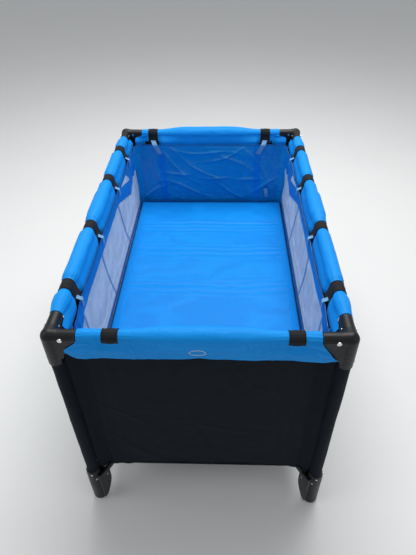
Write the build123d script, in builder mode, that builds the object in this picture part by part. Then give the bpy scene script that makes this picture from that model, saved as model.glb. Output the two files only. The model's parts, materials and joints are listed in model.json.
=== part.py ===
from build123d import *
from math import atan2, degrees, hypot
import os

os.makedirs("parts", exist_ok=True)

# Folding travel playpen with a hook-on bassinet. Millimetres, +Z up, origin on the floor at the centre.
# Everything below is drawn for the +X +Y corner and mirrored to the other three.

# Legs
LEG_X = 328.0            # leg centre lines
LEG_Y = 533.0
LEG_RADIUS = 14.0
LEG_WALL = 1.2
LEG_BOTTOM = 24.0
LEG_TOP = 735.0

# Top rails, each two tubes that meet at a centre latch
RAIL_Z = 728.0
RAIL_RADIUS = 10.0
TUBE_WALL = 1.2
PIVOT_INSET = 27.5       # rail pivot, inboard of the leg centre line
LATCH_HALF = 18.0        # latch pivots, either side of the rail's middle
REACH_X = LEG_X - PIVOT_INSET - LATCH_HALF
REACH_Y = LEG_Y - PIVOT_INSET - LATCH_HALF
CORNER_TAIL = 6.0        # tube past its corner pivot
LATCH_TAIL = 5.0         # tube past its latch pivot

# Bottom tubes: their plan lengths equal the rails' reaches, so every pivot turns by the same angle
SPOKE_LENGTH = hypot(REACH_X, REACH_Y)
SPOKE_DX = REACH_X / SPOKE_LENGTH
SPOKE_DY = REACH_Y / SPOKE_LENGTH
SPOKE_Z = 116.0
SPOKE_RADIUS = 9.5
SPOKE_TAIL = 6.0
HUB_PIVOT = 42.0         # hub pivots' distance from the centre
FOOT_PIVOT_X = HUB_PIVOT * SPOKE_DX + REACH_X
FOOT_PIVOT_Y = HUB_PIVOT * SPOKE_DY + REACH_Y
EAR_INNER = 10.0         # clevis ears, from the tube's centre line
EAR_OUTER = 14.0

# Pins and their holes
PIN_RADIUS = 3.0
HOLE_RADIUS = 3.1
RIVET_RADIUS = 2.5
RIVET_HOLE = 2.6
LEG_RIVET_Z = 657.0

# Corner bracket
SOCKET_RADIUS = 18.5     # round the leg, and the ball at the corner
ARM_RADIUS = 15.2        # arm past its taper
MOUTH_RADIUS = 14.6
ARM_TAPER = 21.0
BRACKET_CAVITY = 12.2
BRACKET_ARM = 61.0       # from the leg centre line to the arm's mouth
CAVITY_START = 15.2
SOCKET_BOTTOM = 646.0
WEB = 3.0
WEB_FACE = 15.4          # outer faces of the flat webs, from the leg centre line
SKIRT = 2.8
SKIRT_START = 13.0
SCREW_INSET = 36.0
SCREW_DROP = 27.0

# Centre latch
LATCH_RADIUS = 20.0
LATCH_LENGTH = 84.0
LATCH_SIDE = 13.6
LATCH_CHANNEL = 11.4
LATCH_FLOOR = 13.5
LATCH_BASE = 17.0
LATCH_WALL_TOP = 9.0
LATCH_WEB = 3.8

# Fabric
SLEEVE_THICK = 1.5
SLEEVE_FULL = 22.0       # round the latch and between the straps
SLEEVE_WAIST = 14.2      # under a strap and at the bracket mouths
WAIST_HALF = 22.0
WAIST_FLARE = 46.0
PANEL = 1.6
PANEL_INSET = 17.4       # from the leg centre line to the panel's outer face
PANEL_BOTTOM = 150.0
PANEL_TOP = 705.0
FLOOR_THICK = 2.0

# Bassinet
TUB_TOP = 733.0
TUB_BASE = 427.0
TUB_X = 300.0
TUB_Y = 503.0
TUB_BASE_X = 298.0
TUB_BASE_Y = 496.0
TUB_WALL = 2.5
TUB_CORNER = 40.0
BAR_RADIUS = 8.0
BAR_Z = 418.0
STRAP = 2.0
STRAP_WIDTH = 36.0
STRAP_GAP = 1.5
STRAP_INNER_END = 683.0
STRAP_OUTER_END = 704.0
FRONT_STRAPS = (-192.0, 212.0)
BACK_STRAPS = (-222.0, 211.0)
SIDE_STRAPS = (-377.0, -118.0, 155.0, 370.0)

IMAGES = {
    "br": (),
    "bl": (Plane.YZ,),
    "fr": (Plane.XZ,),
    "fl": (Plane.YZ, Plane.XZ),
}


def save(shape, name):
    """Label one piece and write its STEP file."""
    shape.label = name
    export_step(shape, f"parts/{name}.step")


def image(shape, corner):
    """The +X +Y piece mirrored to the named corner."""
    for plane in IMAGES[corner]:
        shape = shape.mirror(plane)
    return shape


def spoke_plane(x, y, z):
    """Upright plane along the bottom tube: local X points to the hub, local Y points up."""
    return Plane(origin=(x, y, z), x_dir=(-SPOKE_DX, -SPOKE_DY, 0), z_dir=(-SPOKE_DY, SPOKE_DX, 0))


# ---------------------------------------------------------------- leg tube
with BuildPart() as leg_tube:
    with BuildSketch(Plane.XY.offset(LEG_BOTTOM)):
        with Locations((LEG_X, LEG_Y)):
            Circle(LEG_RADIUS)
            Circle(LEG_RADIUS - LEG_WALL, mode=Mode.SUBTRACT)
    extrude(amount=LEG_TOP - LEG_BOTTOM)
    with Locations((LEG_X, LEG_Y, LEG_RIVET_Z)):
        Cylinder(RIVET_HOLE, 60, rotation=(0, 90, 0), mode=Mode.SUBTRACT)

# ---------------------------------------------------------------- corner bracket and its inner cover
CAVITY_LENGTH = BRACKET_ARM + 1 - CAVITY_START
CAVITY_MID = CAVITY_START + CAVITY_LENGTH / 2
CAVITY_WIDTH = 2 * BRACKET_CAVITY
ARM_REST = BRACKET_ARM - ARM_TAPER


def web_outline(centre):
    """Flat web beside one arm: from the mouth, slanting down to the leg socket."""
    return (
        (centre - BRACKET_ARM, RAIL_Z),
        (centre - BRACKET_ARM, RAIL_Z - 6),
        (centre - 57, RAIL_Z - 12),
        (centre - 40, RAIL_Z - 32),
        (centre - 24, RAIL_Z - 52),
        (centre - 15, RAIL_Z - 70),
        (centre - 11, SOCKET_BOTTOM),
        (centre + 10, SOCKET_BOTTOM),
        (centre + 10, RAIL_Z),
    )


def skirt_outline(centre):
    """Inner skirt beside one arm, rounded up towards the mouth."""
    return (
        (centre - BRACKET_ARM, RAIL_Z),
        (centre - BRACKET_ARM, RAIL_Z - 12),
        (centre - 58, RAIL_Z - 20),
        (centre - 52, RAIL_Z - 28),
        (centre - 42, RAIL_Z - 34),
        (centre - 28, RAIL_Z - 37),
        (centre - SKIRT_START, RAIL_Z - 37),
        (centre - SKIRT_START, RAIL_Z),
    )


with BuildPart() as corner_shell:
    with Locations((LEG_X, LEG_Y, (SOCKET_BOTTOM + RAIL_Z) / 2)):
        Cylinder(SOCKET_RADIUS, RAIL_Z - SOCKET_BOTTOM)
    with Locations((LEG_X, LEG_Y, RAIL_Z)):
        Sphere(SOCKET_RADIUS)
    # arms, wide at the corner and slimmer towards their mouths
    with Locations((LEG_X - ARM_TAPER / 2, LEG_Y, RAIL_Z)):
        Cone(SOCKET_RADIUS, ARM_RADIUS, ARM_TAPER, rotation=(0, -90, 0))
    with Locations((LEG_X - ARM_TAPER - ARM_REST / 2, LEG_Y, RAIL_Z)):
        Cone(ARM_RADIUS, MOUTH_RADIUS, ARM_REST, rotation=(0, -90, 0))
    with Locations((LEG_X, LEG_Y - ARM_TAPER / 2, RAIL_Z)):
        Cone(SOCKET_RADIUS, ARM_RADIUS, ARM_TAPER, rotation=(90, 0, 0))
    with Locations((LEG_X, LEG_Y - ARM_TAPER - ARM_REST / 2, RAIL_Z)):
        Cone(ARM_RADIUS, MOUTH_RADIUS, ARM_REST, rotation=(90, 0, 0))
    # flat webs on the two outer faces
    with BuildSketch(Plane(origin=(0, LEG_Y + WEB_FACE, 0), x_dir=(1, 0, 0), z_dir=(0, -1, 0))):
        Polygon(*web_outline(LEG_X), align=None)
    extrude(amount=WEB)
    with BuildSketch(Plane(origin=(LEG_X + WEB_FACE, 0, 0), x_dir=(0, 1, 0), z_dir=(1, 0, 0))):
        Polygon(*web_outline(LEG_Y), align=None)
    extrude(amount=-WEB)
    # inner skirts and the ridge along each
    with BuildSketch(Plane(origin=(0, LEG_Y - WEB_FACE, 0), x_dir=(1, 0, 0), z_dir=(0, -1, 0))):
        Polygon(*skirt_outline(LEG_X), align=None)
    extrude(amount=-SKIRT)
    with BuildSketch(Plane(origin=(LEG_X - WEB_FACE, 0, 0), x_dir=(0, 1, 0), z_dir=(1, 0, 0))):
        Polygon(*skirt_outline(LEG_Y), align=None)
    extrude(amount=SKIRT)
    with Locations((LEG_X - 40, LEG_Y - WEB_FACE, RAIL_Z - 13)):
        Box(38, 2.4, 3)
    with Locations((LEG_X - WEB_FACE, LEG_Y - 40, RAIL_Z - 13)):
        Box(2.4, 38, 3)
    # channels that the rails swing down out of
    with Locations((LEG_X - CAVITY_MID, LEG_Y, RAIL_Z)):
        Cylinder(BRACKET_CAVITY, CAVITY_LENGTH, rotation=(0, 90, 0), mode=Mode.SUBTRACT)
    with Locations((LEG_X - CAVITY_MID, LEG_Y, RAIL_Z - 70)):
        Box(CAVITY_LENGTH, CAVITY_WIDTH, 140, mode=Mode.SUBTRACT)
    with Locations((LEG_X, LEG_Y - CAVITY_MID, RAIL_Z)):
        Cylinder(BRACKET_CAVITY, CAVITY_LENGTH, rotation=(90, 0, 0), mode=Mode.SUBTRACT)
    with Locations((LEG_X, LEG_Y - CAVITY_MID, RAIL_Z - 70)):
        Box(CAVITY_WIDTH, CAVITY_LENGTH, 140, mode=Mode.SUBTRACT)
    # leg socket
    with Locations((LEG_X, LEG_Y, (SOCKET_BOTTOM + LEG_TOP) / 2)):
        Cylinder(LEG_RADIUS + 0.1, LEG_TOP - SOCKET_BOTTOM + 1, mode=Mode.SUBTRACT)
    # pin, rivet and cover screw holes
    with Locations((LEG_X - PIVOT_INSET, LEG_Y, RAIL_Z)):
        Cylinder(HOLE_RADIUS, 60, rotation=(90, 0, 0), mode=Mode.SUBTRACT)
    with Locations((LEG_X, LEG_Y - PIVOT_INSET, RAIL_Z)):
        Cylinder(HOLE_RADIUS, 60, rotation=(0, 90, 0), mode=Mode.SUBTRACT)
    with Locations((LEG_X, LEG_Y, LEG_RIVET_Z)):
        Cylinder(RIVET_HOLE, 60, rotation=(0, 90, 0), mode=Mode.SUBTRACT)
    with Locations((LEG_X - SCREW_INSET, LEG_Y - WEB_FACE, RAIL_Z - SCREW_DROP)):
        Cylinder(1.9, 8, rotation=(90, 0, 0), mode=Mode.SUBTRACT)
    with Locations((LEG_X - WEB_FACE, LEG_Y - SCREW_INSET, RAIL_Z - SCREW_DROP)):
        Cylinder(1.9, 8, rotation=(0, 90, 0), mode=Mode.SUBTRACT)

with BuildPart() as corner_bracket:
    add(corner_shell.part)
    with Locations((LEG_X - 150, LEG_Y - 150, RAIL_Z)):
        Box(300, 300, 300, mode=Mode.SUBTRACT)

with BuildPart() as corner_cover:
    add(corner_shell.part)
    with Locations((LEG_X - 150, LEG_Y - 150, RAIL_Z)):
        Box(300, 300, 300, mode=Mode.INTERSECT)

# ---------------------------------------------------------------- foot with the bottom tube's clevis
# Small rivets on the foot, as (offset in X, offset in Y, height, angle about Z)
FOOT_RIVETS = ((0, 21.0, 149, 0), (-9.8, 19.3, 124, 27), (21.0, 0, 149, -90))

with BuildPart() as foot:
    with BuildSketch(Plane(origin=(LEG_X, LEG_Y, 0), x_dir=(1, 0, 0), z_dir=(0, -1, 0))):
        Polygon((0, 0), (17, 0), (20.5, 3), (22, 9), (22, 134), (21, 154), (19, 158), (0, 158), align=None)
    revolve(axis=Axis((LEG_X, LEG_Y, 0), (0, 0, 1)))
    with BuildSketch(spoke_plane(FOOT_PIVOT_X, FOOT_PIVOT_Y, 0)):
        Polygon(
            (12, 92), (12, 130), (8, 138), (-28, 142),
            (-28, 20), (-14, 24), (2, 52), (10, 74),
            align=None,
        )
    extrude(amount=EAR_OUTER, both=True)
    with BuildSketch(spoke_plane(FOOT_PIVOT_X, FOOT_PIVOT_Y, 0)):
        Polygon((-12.5, 103), (40, 103), (40, 220), (-12.5, 220), align=None)
    extrude(amount=EAR_INNER, both=True, mode=Mode.SUBTRACT)
    with BuildSketch(spoke_plane(FOOT_PIVOT_X, FOOT_PIVOT_Y, SPOKE_Z)):
        Circle(HOLE_RADIUS)
    extrude(amount=20, both=True, mode=Mode.SUBTRACT)
    with BuildSketch(Plane.XY.offset(LEG_BOTTOM)):
        with Locations((LEG_X, LEG_Y)):
            Circle(LEG_RADIUS + 0.1)
    extrude(amount=140, mode=Mode.SUBTRACT)
    # flat seats for the small rivets
    for dx, dy, height, turn in FOOT_RIVETS:
        with Locations(Location((LEG_X + dx, LEG_Y + dy, height), (0, 0, turn))):
            with Locations((0, 1.6, 0)):
                Cylinder(3.4, 3, rotation=(90, 0, 0), mode=Mode.SUBTRACT)

# ---------------------------------------------------------------- rivets, pins and screws of one corner
with BuildPart() as corner_fasteners:
    # rail pivot pins
    with Locations((LEG_X - PIVOT_INSET, LEG_Y, RAIL_Z)):
        Cylinder(PIN_RADIUS, 2 * WEB_FACE + 2, rotation=(90, 0, 0))
    with Locations((LEG_X - PIVOT_INSET, LEG_Y + WEB_FACE + 0.8, RAIL_Z)):
        Cylinder(5.2, 1.4, rotation=(90, 0, 0))
    with Locations((LEG_X, LEG_Y - PIVOT_INSET, RAIL_Z)):
        Cylinder(PIN_RADIUS, 2 * WEB_FACE + 2, rotation=(0, 90, 0))
    with Locations((LEG_X + WEB_FACE + 0.8, LEG_Y - PIVOT_INSET, RAIL_Z)):
        Cylinder(5.2, 1.4, rotation=(0, 90, 0))
    # leg rivet
    with Locations((LEG_X, LEG_Y, LEG_RIVET_Z)):
        Cylinder(RIVET_RADIUS, 2 * SOCKET_RADIUS, rotation=(0, 90, 0))
    with Locations((LEG_X + SOCKET_RADIUS + 0.6, LEG_Y, LEG_RIVET_Z)):
        Cylinder(4.2, 1.2, rotation=(0, 90, 0))
    # cover screws
    with Locations((LEG_X - SCREW_INSET, LEG_Y - WEB_FACE - 0.9, RAIL_Z - SCREW_DROP)):
        Cylinder(3.6, 1.6, rotation=(90, 0, 0))
    with Locations((LEG_X - SCREW_INSET, LEG_Y - WEB_FACE + 0.9, RAIL_Z - SCREW_DROP)):
        Cylinder(1.8, 2.4, rotation=(90, 0, 0))
    with Locations((LEG_X - WEB_FACE - 0.9, LEG_Y - SCREW_INSET, RAIL_Z - SCREW_DROP)):
        Cylinder(3.6, 1.6, rotation=(0, 90, 0))
    with Locations((LEG_X - WEB_FACE + 0.9, LEG_Y - SCREW_INSET, RAIL_Z - SCREW_DROP)):
        Cylinder(1.8, 2.4, rotation=(0, 90, 0))
    # bottom tube's pivot pin in the foot
    with BuildSketch(spoke_plane(FOOT_PIVOT_X, FOOT_PIVOT_Y, SPOKE_Z)):
        Circle(PIN_RADIUS)
    extrude(amount=EAR_OUTER + 0.5, both=True)
    # small rivets on the foot
    for dx, dy, height, turn in FOOT_RIVETS:
        with Locations(Location((LEG_X + dx, LEG_Y + dy, height), (0, 0, turn))):
            with Locations((0, 0.9, 0)):
                Cylinder(3.1, 1.6, rotation=(90, 0, 0))

# ---------------------------------------------------------------- bottom tube
with BuildPart() as bottom_tube:
    tube_start = Plane(
        origin=(FOOT_PIVOT_X + SPOKE_TAIL * SPOKE_DX, FOOT_PIVOT_Y + SPOKE_TAIL * SPOKE_DY, SPOKE_Z),
        x_dir=(0, 0, 1),
        z_dir=(-SPOKE_DX, -SPOKE_DY, 0),
    )
    with BuildSketch(tube_start):
        Circle(SPOKE_RADIUS)
        Circle(SPOKE_RADIUS - TUBE_WALL, mode=Mode.SUBTRACT)
    extrude(amount=SPOKE_LENGTH + 2 * SPOKE_TAIL)
    with BuildSketch(spoke_plane(FOOT_PIVOT_X, FOOT_PIVOT_Y, SPOKE_Z)):
        with Locations((0, 0), (SPOKE_LENGTH, 0)):
            Circle(HOLE_RADIUS)
    extrude(amount=20, both=True, mode=Mode.SUBTRACT)

for corner in IMAGES:
    save(image(leg_tube.part, corner), f"leg_tube_{corner}")
    save(image(corner_bracket.part, corner), f"corner_bracket_{corner}")
    save(image(corner_cover.part, corner), f"corner_cover_{corner}")
    save(image(foot.part, corner), f"foot_{corner}")
    save(image(corner_fasteners.part, corner), f"corner_fasteners_{corner}")
    save(image(bottom_tube.part, corner), f"bottom_tube_{corner}")

# ---------------------------------------------------------------- hub under the floor
spoke_angle = degrees(atan2(SPOKE_DY, SPOKE_DX))
SPOKE_ANGLES = (spoke_angle, 180 - spoke_angle, 180 + spoke_angle, -spoke_angle)

with BuildPart() as hub_body:
    Cylinder(22, 146, align=(Align.CENTER, Align.CENTER, Align.MIN))
    with Locations((0, 0, 138)):
        Cylinder(36, 8, align=(Align.CENTER, Align.CENTER, Align.MIN))
    for angle in SPOKE_ANGLES:
        with Locations(Location((0, 0, SPOKE_Z), (0, 0, angle))):
            with Locations((36, 0, 6)):
                Box(38, 2 * EAR_OUTER, 44)
    for angle in SPOKE_ANGLES:
        with Locations(Location((0, 0, SPOKE_Z), (0, 0, angle))):
            with Locations((56, 0, -2)):
                Box(60, 2 * EAR_INNER, 48, mode=Mode.SUBTRACT)
            with Locations((HUB_PIVOT, 0, 0)):
                Cylinder(HOLE_RADIUS, 40, rotation=(90, 0, 0), mode=Mode.SUBTRACT)
save(hub_body.part, "hub_body")

with BuildPart() as hub_pins:
    for angle in SPOKE_ANGLES:
        with Locations(Location((0, 0, SPOKE_Z), (0, 0, angle))):
            with Locations((HUB_PIVOT, 0, 0)):
                Cylinder(PIN_RADIUS, 2 * EAR_OUTER + 0.4, rotation=(90, 0, 0))
save(hub_pins.part, "hub_pins")

with BuildPart() as hub_pull_strap:
    with BuildSketch(Plane.XZ):
        with Locations((0, 182)):
            RectangleRounded(40, 71.6, 18)
            RectangleRounded(36, 67.6, 16, mode=Mode.SUBTRACT)
    extrude(amount=12.5, both=True)
save(hub_pull_strap.part, "hub_pull_strap")

with BuildPart() as tub_floor:
    with Locations((0, 0, PANEL_BOTTOM + FLOOR_THICK / 2)):
        Box(2 * (LEG_X - PANEL_INSET - PANEL - 0.6), 2 * (LEG_Y - PANEL_INSET - PANEL - 0.6), FLOOR_THICK)
        Cylinder(46, 2 * FLOOR_THICK, mode=Mode.SUBTRACT)
save(tub_floor.part, "tub_floor")

# ---------------------------------------------------------------- top rails
with BuildPart() as end_rail:
    with BuildSketch(Plane.YZ.offset(LATCH_HALF - LATCH_TAIL)):
        with Locations((LEG_Y, RAIL_Z)):
            Circle(RAIL_RADIUS)
            Circle(RAIL_RADIUS - TUBE_WALL, mode=Mode.SUBTRACT)
    extrude(amount=LATCH_TAIL + REACH_X + CORNER_TAIL)
    with Locations((LATCH_HALF, LEG_Y, RAIL_Z), (LEG_X - PIVOT_INSET, LEG_Y, RAIL_Z)):
        Cylinder(HOLE_RADIUS, 40, rotation=(90, 0, 0), mode=Mode.SUBTRACT)

with BuildPart() as side_rail:
    with BuildSketch(Plane.XZ.offset(-(LATCH_HALF - LATCH_TAIL))):
        with Locations((LEG_X, RAIL_Z)):
            Circle(RAIL_RADIUS)
            Circle(RAIL_RADIUS - TUBE_WALL, mode=Mode.SUBTRACT)
    extrude(amount=-(LATCH_TAIL + REACH_Y + CORNER_TAIL))
    with Locations((LEG_X, LATCH_HALF, RAIL_Z), (LEG_X, LEG_Y - PIVOT_INSET, RAIL_Z)):
        Cylinder(HOLE_RADIUS, 40, rotation=(0, 90, 0), mode=Mode.SUBTRACT)

END_RAILS = {"br": "rail_back_right", "bl": "rail_back_left", "fr": "rail_front_right", "fl": "rail_front_left"}
SIDE_RAILS = {"br": "rail_right_back", "bl": "rail_left_back", "fr": "rail_right_front", "fl": "rail_left_front"}
for corner in IMAGES:
    save(image(end_rail.part, corner), END_RAILS[corner])
    save(image(side_rail.part, corner), SIDE_RAILS[corner])

# ---------------------------------------------------------------- centre latch: housing, pins, release button
# Drawn along X about the origin, then placed in the middle of each rail.
CHANNEL_LENGTH = LATCH_LENGTH / 2 + 1 - LATCH_WEB
with BuildPart() as latch_housing:
    Cylinder(LATCH_RADIUS, LATCH_LENGTH, rotation=(0, 90, 0))
    with Locations((0, 0, (LATCH_WALL_TOP - LATCH_BASE) / 2)):
        Box(LATCH_LENGTH, 2 * LATCH_SIDE, LATCH_WALL_TOP + LATCH_BASE, mode=Mode.INTERSECT)
    for side in (-1, 1):
        with Locations((side * (LATCH_WEB + CHANNEL_LENGTH / 2), 0, 30 - LATCH_FLOOR)):
            Box(CHANNEL_LENGTH, 2 * LATCH_CHANNEL, 60, mode=Mode.SUBTRACT)
        with Locations((side * LATCH_HALF, 0, 0)):
            Cylinder(HOLE_RADIUS, 40, rotation=(90, 0, 0), mode=Mode.SUBTRACT)
    with Locations((0, 0, -10)):
        Box(5, 16.2, 14.4, mode=Mode.SUBTRACT)

with BuildPart() as latch_pins:
    with Locations((-LATCH_HALF, 0, 0), (LATCH_HALF, 0, 0)):
        Cylinder(PIN_RADIUS, 2 * LATCH_SIDE + 1, rotation=(90, 0, 0))

with BuildPart() as latch_button:
    with Locations((0, 0, -12.9)):
        Box(4.6, 15.6, 11.4)

LATCH_PLACES = {
    "front": Location((0, -LEG_Y, RAIL_Z)),
    "back": Location((0, LEG_Y, RAIL_Z)),
    "left": Location((-LEG_X, 0, RAIL_Z), (0, 0, 90)),
    "right": Location((LEG_X, 0, RAIL_Z), (0, 0, 90)),
}
for side, place in LATCH_PLACES.items():
    save(latch_housing.part.moved(place), f"latch_housing_{side}")
    save(latch_pins.part.moved(place), f"latch_pins_{side}")
    save(latch_button.part.moved(place), f"latch_button_{side}")

# ---------------------------------------------------------------- rail sleeves, drawn in under each strap
def sleeve_outline(half, straps):
    """Outer radius along the rail, from one bracket mouth to the other."""
    points = [(-half, SLEEVE_WAIST)]
    for place in sorted(straps):
        for offset, radius in (
            (-WAIST_FLARE, SLEEVE_FULL),
            (-WAIST_HALF, SLEEVE_WAIST),
            (WAIST_HALF, SLEEVE_WAIST),
            (WAIST_FLARE, SLEEVE_FULL),
        ):
            if abs(place + offset) < half - 30:
                points.append((place + offset, radius))
    points.append((half, SLEEVE_WAIST))
    return points


def sleeve(half, straps):
    """Thin tube of cloth along X about the origin."""
    outer = sleeve_outline(half, straps)
    inner = [(x, radius - SLEEVE_THICK) for x, radius in reversed(outer)]
    with BuildPart() as tube:
        with BuildSketch(Plane.XY):
            Polygon(*outer, *inner, align=None)
        revolve(axis=Axis.X)
    return tube.part


END_SLEEVE_HALF = LEG_X - BRACKET_ARM - 3
SIDE_SLEEVE_HALF = LEG_Y - BRACKET_ARM - 3
save(sleeve(END_SLEEVE_HALF, FRONT_STRAPS).moved(LATCH_PLACES["front"]), "rail_sleeve_front")
save(sleeve(END_SLEEVE_HALF, BACK_STRAPS).moved(LATCH_PLACES["back"]), "rail_sleeve_back")
save(sleeve(SIDE_SLEEVE_HALF, SIDE_STRAPS).moved(LATCH_PLACES["left"]), "rail_sleeve_left")
save(sleeve(SIDE_SLEEVE_HALF, SIDE_STRAPS).moved(LATCH_PLACES["right"]), "rail_sleeve_right")

# ---------------------------------------------------------------- outer walls
panel_mid = PANEL_INSET + PANEL / 2
with BuildPart() as end_wall:
    with Locations((0, LEG_Y - panel_mid, (PANEL_BOTTOM + PANEL_TOP) / 2)):
        Box(2 * (LEG_X - 21), PANEL, PANEL_TOP - PANEL_BOTTOM)
save(end_wall.part, "wall_back")
save(end_wall.part.mirror(Plane.XZ), "wall_front")

with BuildPart() as side_wall:
    with Locations((LEG_X - panel_mid, 0, (PANEL_BOTTOM + PANEL_TOP) / 2)):
        Box(PANEL, 2 * (LEG_Y - 21), PANEL_TOP - PANEL_BOTTOM)
save(side_wall.part, "wall_right")
save(side_wall.part.mirror(Plane.YZ), "wall_left")

# ---------------------------------------------------------------- bassinet: tub, bars, straps, mattress
with BuildPart() as bassinet_tub:
    with BuildSketch(Plane.XY.offset(TUB_BASE)):
        RectangleRounded(2 * TUB_BASE_X, 2 * TUB_BASE_Y, TUB_CORNER)
    with BuildSketch(Plane.XY.offset(TUB_TOP)):
        RectangleRounded(2 * TUB_X, 2 * TUB_Y, TUB_CORNER)
    loft()
    with BuildSketch(Plane.XY.offset(TUB_BASE + TUB_WALL)):
        RectangleRounded(2 * (TUB_BASE_X - TUB_WALL), 2 * (TUB_BASE_Y - TUB_WALL), TUB_CORNER - TUB_WALL)
    with BuildSketch(Plane.XY.offset(TUB_TOP)):
        RectangleRounded(2 * (TUB_X - TUB_WALL), 2 * (TUB_Y - TUB_WALL), TUB_CORNER - TUB_WALL)
    loft(mode=Mode.SUBTRACT)
save(bassinet_tub.part, "bassinet_tub")

with BuildPart() as bassinet_bars:
    with Locations((-274, 0, BAR_Z), (274, 0, BAR_Z)):
        Cylinder(BAR_RADIUS, 920, rotation=(90, 0, 0))
    with Locations((0, -474, BAR_Z), (0, 474, BAR_Z)):
        Cylinder(BAR_RADIUS, 520, rotation=(0, 90, 0))
save(bassinet_bars.part, "bassinet_bars")

with BuildPart() as mattress:
    with BuildSketch(Plane.XY.offset(TUB_BASE + TUB_WALL + 0.4)):
        RectangleRounded(2 * (TUB_BASE_X - TUB_WALL - 2.5), 2 * (TUB_BASE_Y - TUB_WALL - 4), TUB_CORNER - 5)
    extrude(amount=25.5)
    fillet(mattress.faces().sort_by(Axis.Z)[-1].edges(), 7)
save(mattress.part, "mattress")


def strap_profile(wall, rail):
    """Inverted U from the tub's outer face, over the sleeved rail and down outside it."""
    inner = wall + 0.1
    top = RAIL_Z + SLEEVE_WAIST + STRAP_GAP + STRAP
    outer = rail + SLEEVE_WAIST + STRAP_GAP + STRAP
    return (
        (inner, STRAP_INNER_END),
        (inner, top),
        (outer, top),
        (outer, STRAP_OUTER_END),
        (outer - STRAP, STRAP_OUTER_END),
        (outer - STRAP, top - STRAP),
        (inner + STRAP, top - STRAP),
        (inner + STRAP, STRAP_INNER_END),
    )


# The end straps' profile is drawn facing +Y, the side straps' facing +X, each turned round for the far side.
END_FACE = Plane(origin=(0, 0, 0), x_dir=(0, 1, 0), z_dir=(1, 0, 0))
SIDE_FACE = Plane(origin=(0, 0, 0), x_dir=(1, 0, 0), z_dir=(0, -1, 0))
with BuildPart() as bassinet_straps:
    for turn, places in ((0, BACK_STRAPS), (180, FRONT_STRAPS)):
        for x in places:
            with BuildSketch(END_FACE.rotated((0, 0, turn)).offset(x if turn == 0 else -x)):
                Polygon(*strap_profile(TUB_Y, LEG_Y), align=None)
            extrude(amount=STRAP_WIDTH / 2, both=True)
    for turn in (0, 180):
        for y in SIDE_STRAPS:
            with BuildSketch(SIDE_FACE.rotated((0, 0, turn)).offset(-y if turn == 0 else y)):
                Polygon(*strap_profile(TUB_X, LEG_X), align=None)
            extrude(amount=STRAP_WIDTH / 2, both=True)
save(bassinet_straps.part, "bassinet_straps")
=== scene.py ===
import json
import math

import bmesh
import bpy
import numpy as np
from mathutils import Matrix, Vector, noise


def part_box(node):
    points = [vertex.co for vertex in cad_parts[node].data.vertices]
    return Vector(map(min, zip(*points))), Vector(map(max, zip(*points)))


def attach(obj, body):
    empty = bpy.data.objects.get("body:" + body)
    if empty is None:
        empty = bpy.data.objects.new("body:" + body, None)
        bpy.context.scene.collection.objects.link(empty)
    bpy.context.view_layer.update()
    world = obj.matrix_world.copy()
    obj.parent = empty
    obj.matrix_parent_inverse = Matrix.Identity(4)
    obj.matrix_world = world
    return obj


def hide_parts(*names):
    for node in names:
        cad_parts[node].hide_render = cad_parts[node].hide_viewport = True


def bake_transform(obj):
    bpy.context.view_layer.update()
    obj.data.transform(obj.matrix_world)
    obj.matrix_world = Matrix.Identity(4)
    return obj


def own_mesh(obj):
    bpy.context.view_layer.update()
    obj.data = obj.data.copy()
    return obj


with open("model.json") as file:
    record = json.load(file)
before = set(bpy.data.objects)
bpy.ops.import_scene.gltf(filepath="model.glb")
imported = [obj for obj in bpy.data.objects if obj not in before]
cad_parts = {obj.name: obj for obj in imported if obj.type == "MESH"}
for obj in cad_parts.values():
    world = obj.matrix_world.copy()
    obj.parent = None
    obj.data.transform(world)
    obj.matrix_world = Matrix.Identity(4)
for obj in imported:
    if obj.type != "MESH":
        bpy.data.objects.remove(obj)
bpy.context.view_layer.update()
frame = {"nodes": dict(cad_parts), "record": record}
NODES = frame["nodes"]
scene = bpy.context.scene

# ------------------------------------------------------------------ sizes read from the frame, in metres
leg_low, leg_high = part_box("leg_tube_br")
LEG_X = (leg_low.x + leg_high.x) / 2
LEG_Y = (leg_low.y + leg_high.y) / 2
LEG_R = (leg_high.x - leg_low.x) / 2
rail_low, rail_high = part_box("rail_back_right")
RAIL_Z = (rail_low.z + rail_high.z) / 2
arm_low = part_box("corner_bracket_br")[0]
ARM_X, ARM_Y = arm_low.x, arm_low.y
wall_low, wall_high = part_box("wall_back")
PANEL_Y = (wall_low.y + wall_high.y) / 2
side_low, side_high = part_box("wall_right")
PANEL_X = (side_low.x + side_high.x) / 2
PANEL_Z0 = wall_low.z
floor_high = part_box("tub_floor")[1]
tub_low, tub_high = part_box("bassinet_tub")
TUB_X, TUB_Y = tub_high.x, tub_high.y
mat_low, mat_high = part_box("mattress")
MAT_Z = mat_high.z
WRAP_R = LEG_R + 0.0013
EDGE_X, EDGE_Y = LEG_X - WRAP_R, LEG_Y - WRAP_R

# ------------------------------------------------------------------ camera at the photographed angle
yaw, pitch, roll = 0.0398163, 0.7023549, -0.0180126
look = Vector((-math.sin(yaw) * math.cos(pitch), math.cos(yaw) * math.cos(pitch), -math.sin(pitch)))
right = Vector((math.cos(yaw), math.sin(yaw), 0))
up = right.cross(look)
right, up = (right * math.cos(roll) + up * math.sin(roll), up * math.cos(roll) - right * math.sin(roll))
camera_data = bpy.data.cameras.new("camera")
camera_data.lens = 30.75
camera_data.sensor_fit = "VERTICAL"
camera_data.sensor_height = 36.0
camera_data.clip_start = 0.05
camera = bpy.data.objects.new("camera", camera_data)
scene.collection.objects.link(camera)
turn = Matrix((right, up, -look)).transposed()
camera.matrix_world = Matrix.Translation((0.05086, -1.23229, 1.48970)) @ turn.to_4x4()
scene.camera = camera


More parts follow.
